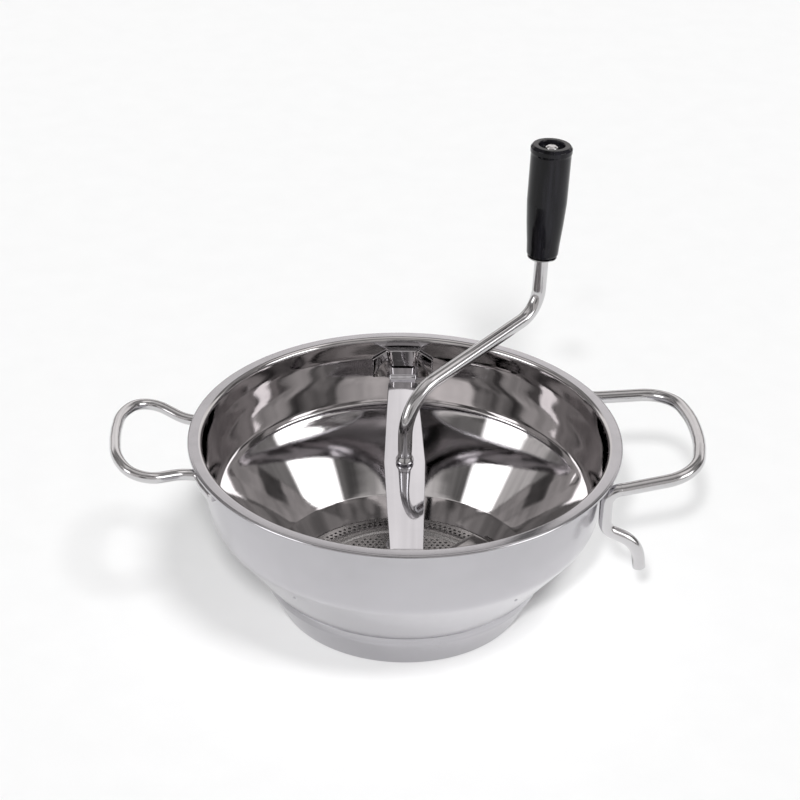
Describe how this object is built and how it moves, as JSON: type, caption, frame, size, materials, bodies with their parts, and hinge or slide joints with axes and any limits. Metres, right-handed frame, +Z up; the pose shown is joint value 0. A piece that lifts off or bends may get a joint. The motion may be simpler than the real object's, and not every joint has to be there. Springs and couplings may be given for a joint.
{
  "type": "rotary food mill",
  "caption": "Hand-cranked food mill: a conical steel bowl with a perforated disc, a sprung pressing blade on a bent crank with a black grip, wire handles and a pot hook.",
  "frame": {"origin": "centre of the foot ring's underside, on the crank's axis; the handles reach 162.1 mm to the left and 165.8 mm to the right, so the middle of the whole box lies 1.9 mm to the right of it", "axes": "+Z up along the crank's axis, +Y along the bridge bar to the rear bracket, +X to the handle with the pot hook"},
  "size_m": [0.3279, 0.24, 0.2433],
  "materials": {
    "mirror_steel": "polished stainless steel",
    "satin_steel": "satin stainless steel",
    "spring_steel": "drawn spring wire",
    "black_plastic": "glossy black thermoset"
  },
  "bodies": {
    "frame": {"bowl": "mirror_steel", "foot_ring": "mirror_steel", "left_handle": "mirror_steel", "right_handle": "mirror_steel", "rear_bracket": "mirror_steel", "front_bracket": "mirror_steel", "bridge_bar": "mirror_steel", "upper_spring_washer": "mirror_steel", "sieve_disc": "satin_steel"},
    "spring_seat": {"lower_spring_washer": "mirror_steel", "spring": "spring_steel"},
    "crank": {"crank_rod": "mirror_steel", "blade_hub": "satin_steel", "blade_cross_pin": "satin_steel", "blade": "mirror_steel", "grip_lower_washer": "mirror_steel", "grip_upper_washer": "mirror_steel", "grip_rivet_head": "mirror_steel"},
    "grip": {"grip": "black_plastic"}
  },
  "joints": [
    {"name": "blade_lift", "type": "slide", "parent": "frame", "child": "spring_seat", "axis": [0, 0, 1], "range_m": [0, 0.003], "stiffness_N_per_m": 1000, "springref_m": -0.015, "deforming": ["spring"]},
    {"name": "crank_turn", "type": "hinge", "parent": "spring_seat", "child": "crank", "pos_m": [0, 0, 0], "axis": [0, 0, 1], "continuous": true},
    {"name": "grip_spin", "type": "hinge", "parent": "crank", "child": "grip", "pos_m": [0.07627, 0.07926, 0.14115], "axis": [0.0332, 0.0345, 0.9988], "continuous": true}
  ]
}
